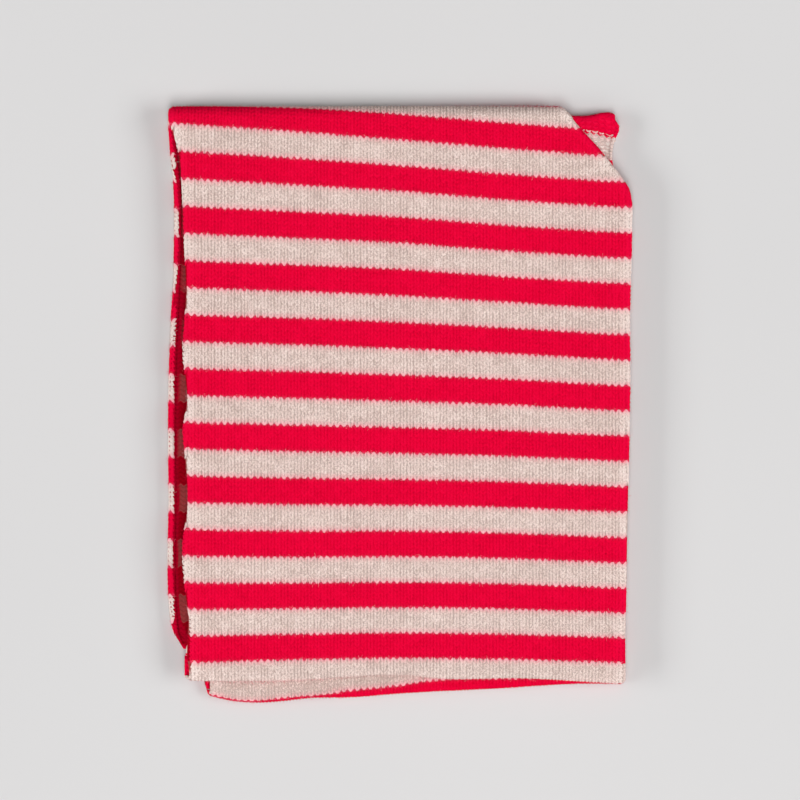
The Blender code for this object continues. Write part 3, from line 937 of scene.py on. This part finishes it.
class Tree:
    """Lays out a node tree: nodes by kind, with their settings and inputs."""

    def __init__(self, tree):
        self.tree = tree

    def give(self, socket, value):
        """Gives an input what a node works out, or a constant."""
        if isinstance(value, Worked):
            self.tree.links.new(value.socket, socket)
        else:
            socket.default_value = value

    def node(self, kind, inputs=None, output=0, **settings):
        node = self.tree.nodes.new(kind)
        for name, value in settings.items():
            setattr(node, name, value)
        for key, value in (inputs or {}).items():
            self.give(node.inputs[key], value)
        return Worked(self, node.outputs[output])

    def maths(self, operation, *values):
        return self.node("ShaderNodeMath", dict(enumerate(values)), operation=operation)

    def boolean(self, operation, *values):
        inputs = dict(enumerate(values))
        return self.node("FunctionNodeBooleanMath", inputs, operation=operation)

    def vectors(self, operation, inputs):
        return self.node("ShaderNodeVectorMath", inputs, operation=operation)

    def vector(self, *numbers):
        return self.node("ShaderNodeCombineXYZ", dict(enumerate(numbers)))

    def turned(self, *angles):
        return self.node("FunctionNodeEulerToRotation", {0: self.vector(*angles)})

    def parts(self, vector):
        first = self.node("ShaderNodeSeparateXYZ", {0: vector})
        return [first.beside(i) for i in range(3)]

    def random(self, low, high, seed, index):
        inputs = {2: low, 3: high, "ID": index, "Seed": seed}
        return self.node("FunctionNodeRandomValue", inputs, 1, data_type="FLOAT")

    def stripe(self, stripes):
        """0 in red stripes and 1 in oatmeal ones, counted down the strip."""
        return self.maths("FLOOR", stripes) % 2.0

    def named(self, name, kind):
        """What a mesh keeps by that name."""
        return self.node("GeometryNodeInputNamedAttribute", {"Name": name}, data_type=kind)

    def sampled(self, cloth, value, kind, place):
        """A value on the cloth at a place on the flat strip. `Is Valid` says if one is there."""
        inputs = {
            "Mesh": cloth,
            "Value": value,
            "UV Map": self.named("knit", "FLOAT_VECTOR"),
            "Sample UV": place,
        }
        return self.node("GeometryNodeSampleUVSurface", inputs, "Value", data_type=kind)

    def stored(self, geometry, name, value, kind="FLOAT", domain="POINT"):
        inputs = {"Geometry": geometry, "Name": name, "Value": value}
        settings = {"data_type": kind, "domain": domain}
        return self.node("GeometryNodeStoreNamedAttribute", inputs, **settings)

    def moved(self, geometry, place):
        inputs = {"Geometry": geometry, "Position": place}
        return self.node("GeometryNodeSetPosition", inputs)

    def moved_above_table(self, geometry, place):
        x, y, z = self.parts(place)
        return self.moved(geometry, self.vector(x, y, self.maths("MAXIMUM", z, 0.0)))

    def dropped(self, geometry, chosen):
        inputs = {"Geometry": geometry, "Selection": chosen}
        return self.node("GeometryNodeDeleteGeometry", inputs, domain="POINT")

    def strewn(self, points, shape, rotation, scale):
        """A shape laid at each point, as one plain mesh."""
        inputs = {
            "Points": points,
            "Instance": self.node("GeometryNodeObjectInfo", {"Object": shape}, "Geometry"),
            "Rotation": rotation,
            "Scale": scale,
        }
        laid = self.node("GeometryNodeInstanceOnPoints", inputs)
        return self.node("GeometryNodeRealizeInstances", {"Geometry": laid})

    def painted(self, geometry, material):
        inputs = {"Geometry": geometry, "Material": material}
        return self.node("GeometryNodeSetMaterial", inputs)

    def worn(self, name):
        """What a piece keeps by that name, for its finish."""
        return self.node("ShaderNodeAttribute", output="Fac", attribute_name=name)

    def strip_place(self):
        """How far across and down the flat strip a finish is, in metres."""
        return self.parts(self.node("ShaderNodeUVMap", uv_map="knit"))[:2]

    def noise(self, place, scale, detail, roughness=0.5):
        inputs = {"Vector": place, "Scale": scale, "Detail": detail, "Roughness": roughness}
        return self.node("ShaderNodeTexNoise", inputs)

    def ramp(self, factor, stops, colours):
        colour = self.node("ShaderNodeValToRGB", {0: factor})
        elements = colour.socket.node.color_ramp.elements
        while len(elements) < len(stops):
            elements.new(0.5)
        for element, stop, tone in zip(elements, stops, colours):
            element.position = stop
            element.color = tone
        return colour

    def mixed(self, factor, first, second):
        inputs = {0: factor, 6: first, 7: second}
        return self.node("ShaderNodeMix", inputs, 2, data_type="RGBA")


def group_tree(name, kind, inputs, outputs):
    """A node tree with named outputs and inputs, these as a kind or as the size they start at."""
    tree = bpy.data.node_groups.new(name, kind)
    for label, given in inputs.items():
        socket_type = "NodeSocket" + (given if isinstance(given, str) else "Float")
        socket = tree.interface.new_socket(name=label, in_out="INPUT", socket_type=socket_type)
        if not isinstance(given, str):
            socket.default_value = given
    for label, given in outputs.items():
        socket_type = "NodeSocket" + given
        tree.interface.new_socket(name=label, in_out="OUTPUT", socket_type=socket_type)
    build = Tree(tree)
    given = tree.nodes.new("NodeGroupInput").outputs
    made = tree.nodes.new("NodeGroupOutput").inputs
    return tree, build, {label: Worked(build, given[label]) for label in inputs}, made


def knit_tree():
    """Stitches of one colour, laid out on the flat strip and then carried onto the cloth."""
    tree, build, given, made = group_tree(
        "knit stitches",
        "GeometryNodeTree",
        {
            "Cloth": "Geometry",
            "Stitch": "Object",
            "First wale": "Int",
            "First course": "Int",
            "Wales": "Int",
            "Courses": "Int",
            "Wale pitch": WALE * METRE,
            "Course pitch": COURSE * METRE,
            "Stripe": "Int",
            "Dashed row": "Int",
            "Unevenness": UNEVEN,
            "Seed": "Int",
            "Yarn": "Material",
        },
        {"Stitches": "Geometry"},
    )
    cloth, seed, courses = given["Cloth"], given["Seed"], given["Courses"]
    index = build.node("GeometryNodeInputIndex")
    grid = build.node(
        "GeometryNodeMeshGrid",
        {"Vertices X": given["Wales"], "Vertices Y": courses, "Size X": 1.0, "Size Y": 1.0},
    )
    # The grid's own vertices run along Y first, so their index gives wale and course.
    wale = build.maths("FLOOR", index / courses)
    course = index - wale * courses + given["First course"]
    wale = wale + given["First wale"]
    stripe = build.stripe((course + 0.01) / STRIPE_COURSES)
    # On the purl side, one row of each red stripe shows as small dashes of the other yarn.
    dashed = build.maths("COMPARE", course % STRIPE_COURSES, given["Dashed row"], 0.1)
    dashed = dashed * (1.0 - stripe)
    other = abs(stripe + dashed - given["Stripe"])
    place = build.vector(
        (wale + 0.5) * given["Wale pitch"], (course + 0.5) * given["Course pitch"], 0.0
    )
    out = build.named("out", "FLOAT_VECTOR")
    on_cloth = build.sampled(cloth, out, "FLOAT_VECTOR", place).beside("Is Valid")
    unwanted = build.boolean("OR", build.boolean("NOT", on_cloth), other > 0.5)
    points = build.stored(build.moved(grid, place), "tone", build.random(0.0, 1.0, seed, index))
    turn, wide, long, high = (
        build.random(-1.0, 1.0, seed + k, index) * given["Unevenness"]
        for k in (1.0, 2.0, 3.0, 4.0)
    )
    joined = build.strewn(
        build.dropped(points, unwanted),
        given["Stitch"],
        build.turned(0.0, 0.0, turn * UNEVEN_TURN),
        build.vector(
            1.0 + wide, 1.0 + long - dashed * DASH_THINNER, 1.0 + high * UNEVEN_HEIGHT
        ),
    )
    flat = build.node("GeometryNodeInputPosition")
    joined = build.stored(joined, "knit", flat, "FLOAT2", "CORNER")
    root = build.sampled(cloth, build.named("position", "FLOAT_VECTOR"), "FLOAT_VECTOR", flat)
    relief = build.sampled(cloth, build.named("relief", "FLOAT"), "FLOAT", flat)
    # the stitches' painted light and shade, taken from the face below
    tint = build.sampled(cloth, build.named("tint", "FLOAT"), "FLOAT", flat)
    missing = build.boolean("NOT", root.beside("Is Valid"))
    joined = build.stored(joined, "missing", missing, "BOOLEAN")
    joined = build.stored(joined, "tint", tint)
    out = build.sampled(cloth, out, "FLOAT_VECTOR", flat)
    lift = build.vectors("SCALE", {0: out, "Scale": build.parts(flat)[2] * relief})
    carried = build.moved_above_table(joined, build.vectors("ADD", {0: root, 1: lift}))
    trimmed = build.dropped(carried, build.named("missing", "BOOLEAN"))
    build.give(made[0], build.painted(trimmed, given["Yarn"]))
    return tree


def fuzz_tree():
    """Loose fibres over a face of the cloth, of the colour of the stripe that they grow from."""
    tree, build, given, made = group_tree(
        "wool fuzz",
        "GeometryNodeTree",
        {
            "Cloth": "Geometry",
            "Fibre": "Object",
            "Density": "Float",
            "Plain share": FEW_FIBRES,
            "Border": "Float",
            "Stripe": "Int",
            "Stripe length": STRIPE * METRE,
            "Stray": FIBRE_STRAY * METRE,
            "Tilt": FIBRE_TILT,
            "Seed": "Int",
            "Wool": "Material",
        },
        {"Fuzz": "Geometry"},
    )
    seed = given["Seed"]
    scattered = build.node(
        "GeometryNodeDistributePointsOnFaces",
        {"Mesh": given["Cloth"], "Density": given["Density"], "Seed": seed},
    )
    index = build.node("GeometryNodeInputID")
    down = build.parts(build.named("knit", "FLOAT_VECTOR"))[1]
    stray = build.random(-1.0, 1.0, seed, index) * given["Stray"]
    part = (down + stray) / given["Stripe length"]
    other = abs(build.stripe(part) - given["Stripe"])
    # Away from a change of colour only a few fibres stay.
    inside = abs(build.maths("FRACT", part) - 0.5) < 0.5 - given["Border"]
    few = build.random(0.0, 1.0, seed + 5.0, index) > given["Plain share"]
    kept = build.dropped(scattered, other + inside * few > 0.5)
    out = build.named("out", "FLOAT_VECTOR")
    upright = build.node("FunctionNodeAlignRotationToVector", {"Vector": out}, axis="Z")
    tilt_x, tilt_y = (
        build.random(-1.0, 1.0, seed + k, index) * given["Tilt"] for k in (1.0, 2.0)
    )
    turn = build.turned(tilt_x, tilt_y, build.random(0.0, TURN, seed + 3.0, index))
    rotation = build.node(
        "FunctionNodeRotateRotation",
        {"Rotation": upright, "Rotate By": turn},
        rotation_space="LOCAL",
    )
    size = build.random(*FIBRE_SIZES, seed + 4.0, index)
    joined = build.strewn(kept, given["Fibre"], rotation, size)
    joined = build.moved_above_table(joined, build.node("GeometryNodeInputPosition"))
    build.give(made[0], build.painted(joined, given["Wool"]))
    return tree


def grown(name, ground, tree, values):
    """What a tree makes on a face of the cloth, as a plain mesh piece."""
    modifier = ground.modifiers.new(name, "NODES")
    modifier.node_group = tree
    sockets = {s.name: s.identifier for s in tree.interface.items_tree if s.in_out == "INPUT"}
    for label, value in values.items():
        modifier[sockets[label]] = value
    bpy.context.view_layer.update()
    graph = bpy.context.evaluated_depsgraph_get()
    mesh = bpy.data.meshes.new_from_object(
        ground.evaluated_get(graph), preserve_all_data_layers=True, depsgraph=graph
    )
    ground.modifiers.remove(modifier)
    mesh.name = name
    mesh.shade_smooth()
    return link(name, mesh)


def small_shape(name, points, faces, ridge):
    """A small mesh from millimetres, facing up. It keeps painted light along a yarn: 1 on its
    raised middle and 0 at its sides, less at its ends, so that its sides are painted darker."""
    mesh = bpy.data.meshes.new(name)
    mesh.from_pydata((np.array(points, float) * METRE).tolist(), [], faces)
    keep(mesh, "ridge", ridge)
    work = bmesh.new()
    work.from_mesh(mesh)
    for face in work.faces:
        if face.normal.z < 0:
            face.normal_flip()
    work.to_mesh(mesh)
    work.free()
    mesh.shade_smooth()
    return link(name, mesh)


def yarn_shape(name, course, ways=(1,)):
    """Half-round yarn along a table's rows, once for each way in X: rows of three points, its
    sides down and its ridge up."""
    points, faces, ridge = [], [], []
    for way in ways:
        faces += grid_quads(len(course["x"]), 3, len(points))
        path = np.stack([way * course["x"], course["y"]], axis=1)
        along = np.gradient(path, axis=0)
        along /= np.linalg.norm(along, axis=1, keepdims=True)
        columns = (course[key] for key in ("z", "half", "sunk"))
        for (x, y), (along_x, along_y), z, half, sunk in zip(path, along, *columns):
            for side in (-1, 0, 1):
                to_x, to_y = side * along_y * half, side * along_x * half
                points.append((x + to_x, y - to_y, z - abs(side) * sunk))
            # painted light: a yarn's raised middle is lighter, its sides and ends darker
            ridge += [0.0, (half / course["half"].max()) ** 2, 0.0]
    return small_shape(name, points, faces, ridge)


def fibre_shape(name):
    """A thin bent ribbon that rises from the cloth and lies over."""
    rows = list(zip(*FIBRE.values()))
    points = [(x, y + side * FIBRE_HALF, z) for x, y, z in rows for side in (-1, 1)]
    faces = [(2 * i, 2 * i + 2, 2 * i + 3, 2 * i + 1) for i in range(len(rows) - 1)]
    return small_shape(name, points, faces, [FIBRE_PAINTED_LIGHT] * len(points))


def new_material(name):
    material = bpy.data.materials.new(name)
    material.use_nodes = True
    inputs = material.node_tree.nodes["Principled BSDF"].inputs
    inputs["Roughness"].default_value = ROUGH
    inputs["Specular IOR Level"].default_value = SHINE
    return material, Tree(material.node_tree), inputs


def wool_group():
    """Wool's fine tangle: a tone from 0 to 1 and a bumped normal, in Object coordinates."""
    tree, build, given, made = group_tree(
        "wool tangle",
        "ShaderNodeTree",
        {"Scale": FINE_SCALE, "Depth": TANGLE_DEPTH},
        {"Tone": "Float", "Normal": "Vector"},
    )
    place = build.node("ShaderNodeTexCoord", output="Object")
    fine = build.noise(place, given["Scale"], 3.0, 0.6)
    soft = build.noise(place, SOFT_SCALE, 2.0)
    bump = {"Height": fine, "Distance": given["Depth"], "Strength": 1.0}
    build.give(made["Tone"], fine * (1 - SOFT_SHARE) + soft * SOFT_SHARE)
    build.give(made["Normal"], build.node("ShaderNodeBump", bump))
    return tree


def yarn_material(name, tangle, tones, blushes_and_shade):
    """Yarn of one colour, uneven from stitch to stitch, painted lighter on its raised middle and
    near curled rims and darker at its sides, painted darker on the third layer and lighter on the
    second, that takes a blush beside the other colour; red also takes painted shade between the
    other's teeth.
    """
    material, build, finish = new_material(name)
    wool = build.node("ShaderNodeGroup", {"Scale": YARN_SCALE}, "Tone", node_tree=tangle)
    # The tone comes from painted light on the raised middle, the random tone, painted light near
    # rims less each stretch's painted shade, and the wool's tangle
    uneven = [(build.worn(part), middle, share) for part, middle, share in YARN_TONES]
    uneven.append((wool, 0.5, TANGLE_SHARE))
    value = sum((part - middle) * share for part, middle, share in uneven)
    colour = build.ramp(value + 0.5, YARN_STOPS, tones)
    over, down = build.strip_place()
    from_middle = 0.5 - build.maths("FRACT", down / (STRIPE * METRE))
    near = abs(from_middle) * 2.0
    wave = build.maths("COSINE", over * (TURN / (WALE * METRE)))
    teeth = wave * build.maths("SIGN", from_middle)
    blotches = BLOTCHES[0] - wool * BLOTCHES[1]
    # The pink blushes are the yarns' own colour; red's dark one is painted shade in the notches
    # between the other yarn's teeth
    for power, strength, swing, meeting_colour in blushes_and_shade:
        share = near**power * blotches * (strength + teeth * (strength * swing))
        colour = build.mixed(share, colour, meeting_colour)
    build.give(finish["Base Color"], colour)
    build.give(finish["Normal"], wool.beside("Normal"))
    return material


def knit_material(name, tangle):
    """The cloth under the stitches, and where none is laid: stripes, painted shade under the
    stitches and along the left edge, and rows of purl bumps.
    """
    material, build, finish = new_material(name)
    tone = build.node("ShaderNodeGroup", output="Tone", node_tree=tangle)
    over, down = build.strip_place()
    wave = build.maths("SINE", over / (WALE * METRE) * TURN) * EDGE_WAVE
    course = down / (COURSE * METRE) + wave
    stripes = course / STRIPE_COURSES
    stripe = build.stripe(stripes)
    red, oatmeal = (build.ramp(tone, CLOTH_STOPS, tones) for _, tones, *_ in YARNS)
    colour = build.mixed(stripe, red, oatmeal)
    # Painted shade under the stitches: where they lie, the cloth between them darkens, most near
    # a change of stripe.
    shaded = build.mixed(stripe, RED_UNDER_SHADE, OATMEAL_DEEP_AND_SHADE)
    near = abs(build.maths("FRACT", stripes) - 0.5) * 2.0
    shaded = build.mixed(near**UNDER_STEEP, shaded, RED_PAINTED_SHADE)
    colour = build.mixed(build.worn("covered") * UNDER_SHARE, colour, shaded)
    # The red yarn is carried up the strip's left edge, inside its roll. Its red there, and the
    # brown and dark red past it, are darkened as painted shade for the hollow inside the roll and
    # under the top layer's rim.
    carried = build.worn("carried")
    run = build.ramp(carried, RUN_STOPS, (RED_PAINTED_SHADE, RED_CARRIED_SHADED))
    colour = build.mixed(carried, colour, run)
    bump = {
        "Height": build.maths("SINE", course * TURN),
        "Distance": BUMP_DEPTH,
        "Strength": BUMP_STRENGTH,
        "Normal": tone.beside("Normal"),
    }
    build.give(finish["Base Color"], colour)
    build.give(finish["Normal"], build.node("ShaderNodeBump", bump))
    return material


def floor_and_light():
    """A pale table, a soft key from the near side, a low soft light on each side, and fill."""
    scene = bpy.context.scene
    scene.view_settings.view_transform = "Standard"
    scene.view_settings.look = "None"
    scene.world = bpy.data.worlds.new("studio")
    scene.world.use_nodes = True
    background = scene.world.node_tree.nodes["Background"].inputs
    background["Color"].default_value = (1, 1, 1, 1)
    background["Strength"].default_value = FILL

    mesh = bpy.data.meshes.new("table")
    corners = ((-1, -1), (1, -1), (1, 1), (-1, 1))
    corners = [(x * TABLE_REACH, y * TABLE_REACH, TABLE_TOP) for x, y in corners]
    mesh.from_pydata(corners, [], [(0, 1, 2, 3)])
    table_top = link("table", mesh)
    material, build, finish = new_material("table_paint")
    finish["Roughness"].default_value = TABLE_ROUGH
    grain = build.noise(build.node("ShaderNodeTexCoord", output="Object"), 3.0, 1.0)
    build.give(finish["Base Color"], build.ramp(grain, TABLE_STOPS, TABLE_TONES))
    mesh.materials.append(material)

    for name, turn, rise, width, length, power in LIGHTS:
        light = bpy.data.lights.new(name, "AREA")
        light.shape = "RECTANGLE"
        light.size, light.size_y = width, length
        light.energy = power
        turn, rise = math.radians(turn), math.radians(rise)
        flat = math.cos(rise)
        way = Vector((flat * math.cos(turn), flat * math.sin(turn), math.sin(rise)))
        lamp = link(name, light)
        lamp.location = way * LIGHT_DISTANCE
        lamp.rotation_mode = "QUATERNION"
        lamp.rotation_quaternion = (-way).to_track_quat("-Z", "Y")

    camera = bpy.data.cameras.new("camera")
    camera.sensor_width = SENSOR
    camera.lens = SENSOR * CAMERA_PLACE[2] / PICTURE_WIDTH
    camera.clip_end = 20.0
    scene.camera = link("camera", camera)
    scene.camera.location = CAMERA_PLACE


def rolled_edges(upper, lower, top, base, outward):
    """One side of a section through the hidden layers: two rolled edges, from the top down."""
    points = []
    middle = (top + base) / 2
    for place, high, low in ((upper, top, middle), (lower, middle, base)):
        half = (high - low) / 2
        for turn in np.linspace(-math.pi / 2, math.pi / 2, HIDDEN_TURN_STEPS):
            x = place + outward * HIDDEN_GROOVE * (math.cos(turn) - 1)
            points.append((x, low + half - half * math.sin(turn)))
    return points


def hidden_piece(material):
    """The layers out of sight, as one body whose sides are two rolled edges of knit."""
    far = INNER_FOLD["y"].min() - LAYER - TUCK - GAP
    near = THIRD_START + GAP
    rows = []
    for y in np.linspace(far, near, HIDDEN_ROWS):
        upper_left, lower_left, upper_right, lower_right = (
            float(read(HIDDEN_SIDES, "y", name, y)) for name in list(HIDDEN_SIDES)[1:]
        )
        left = min(upper_left, lower_left) + 2 * HIDDEN_GROOVE
        right = max(upper_right, lower_right) - 2 * HIDDEN_GROOVE
        x = np.linspace(left, right, FLAT_COLUMNS // 2)
        top, base = third_top(x, y), hidden_base(x, y)
        right_rolls = rolled_edges(upper_right, lower_right, top[-1], base[-1], 1)
        left_rolls = rolled_edges(upper_left, lower_left, top[0], base[0], -1)
        around = [*zip(x, top), *right_rolls, *zip(x[::-1], base[::-1]), *left_rolls[::-1]]
        rows.append([(px, y, pz) for px, pz in around])
    points = np.array(rows)
    r, c = points.shape[:2]
    rings = np.arange(r * c).reshape(r, c).tolist()
    faces = bands(rings) + [rings[0], rings[-1][::-1]]
    mesh = mesh_from("hidden_layers", points, faces, points[..., :2] - (0, HIDDEN_FIRST))
    return closed_piece("hidden_layers_cloth", mesh, material)


def stitched(cloth, side, shape, fibre, yarns, knitting, fuzzing):
    """The stitches and fibres of both colours on one face of the cloth."""
    ground = face_mesh(cloth, side)
    places = cloth.flat[cloth.part].reshape(-1, 2) / (WALE, COURSE)
    first = np.floor(places.min(0)).astype(int) - 1
    count = np.ceil(places.max(0)).astype(int) + 1 - first
    pieces = []
    for stripe, (colour, yarn, density, border) in enumerate(yarns):
        stitches = {
            "Stitch": shape,
            "First wale": int(first[0]),
            "First course": int(first[1]),
            "Wales": int(count[0]),
            "Courses": int(count[1]),
            "Stripe": stripe,
            "Dashed row": DASHED_ROW if shape.name == "purl bump" else -1,
            "Seed": STITCH_SEED + stripe,
            "Yarn": yarn,
        }
        fibres = {
            "Fibre": fibre,
            "Density": density,
            "Border": border,
            "Stripe": stripe,
            "Seed": FUZZ_SEED + stripe,
            "Wool": yarn,
        }
        for what, tree, values in (("stitches", knitting, stitches), ("fuzz", fuzzing, fibres)):
            piece = grown(f"{cloth.name}_{colour}_{what}", ground, tree, values)
            if len(piece.data.polygons):
                pieces.append(piece)
    bpy.data.objects.remove(ground)
    return pieces


def dress(name, body, pieces):
    """Hides a stretch's imported solid and puts its body and pieces round the root node."""
    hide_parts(name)
    for piece in (body, *pieces):
        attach(piece, "root")


def main():
    tangle = wool_group()
    cloth_finish = knit_material("striped_knit", tangle)
    yarns = [
        (colour, yarn_material(f"{colour}_yarn", tangle, tones, blushes_and_shade), density, border)
        for colour, tones, blushes_and_shade, density, border in YARNS
    ]
    stitch = yarn_shape("V stitch", STITCH_LEG, (1, -1))
    purl = yarn_shape("purl bump", PURL_ARCH)
    fibre = fibre_shape("fibre")
    trees = knit_tree(), fuzz_tree()

    # Each stretch of the strip: its name, its rows, which way from them its V side faces, how
    # its stripes run, which way its stitched face looks, and the stitch
    dressed = []
    for name, rows, right_side, course_of, side, shape in (
        ("top_layer", top_layer, 1, top_course_of, 1, stitch),
        ("second_layer", second_layer, -1, second_course_of, 1, purl),
        ("third_layer", third_layer, 1, third_course_of, 1, stitch),
        ("tapered_end", tapered_end, -1, end_course_of, -1, stitch),
        ("fourth_layer", fourth_layer, -1, fourth_course_of, -1, stitch),
    ):
        cloth = Cloth(name, rows(), right_side, course_of)
        body = shell(cloth, cloth_finish, side)
        dressed.append((name, body, stitched(cloth, side, shape, fibre, yarns, *trees)))
    for shape in (stitch, purl, fibre):
        bpy.data.objects.remove(shape)

    hidden = hidden_piece(cloth_finish)
    for name, body, pieces in dressed:
        dress(name, body, pieces)
    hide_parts("hidden_layers")
    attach(hidden, "root")


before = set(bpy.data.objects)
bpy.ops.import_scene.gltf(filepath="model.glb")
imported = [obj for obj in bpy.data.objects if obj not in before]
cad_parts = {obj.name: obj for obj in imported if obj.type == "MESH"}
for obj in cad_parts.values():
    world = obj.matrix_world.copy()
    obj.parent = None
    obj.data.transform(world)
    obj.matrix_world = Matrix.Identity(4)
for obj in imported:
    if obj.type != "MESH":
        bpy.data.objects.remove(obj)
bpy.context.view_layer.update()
floor_and_light()
main()
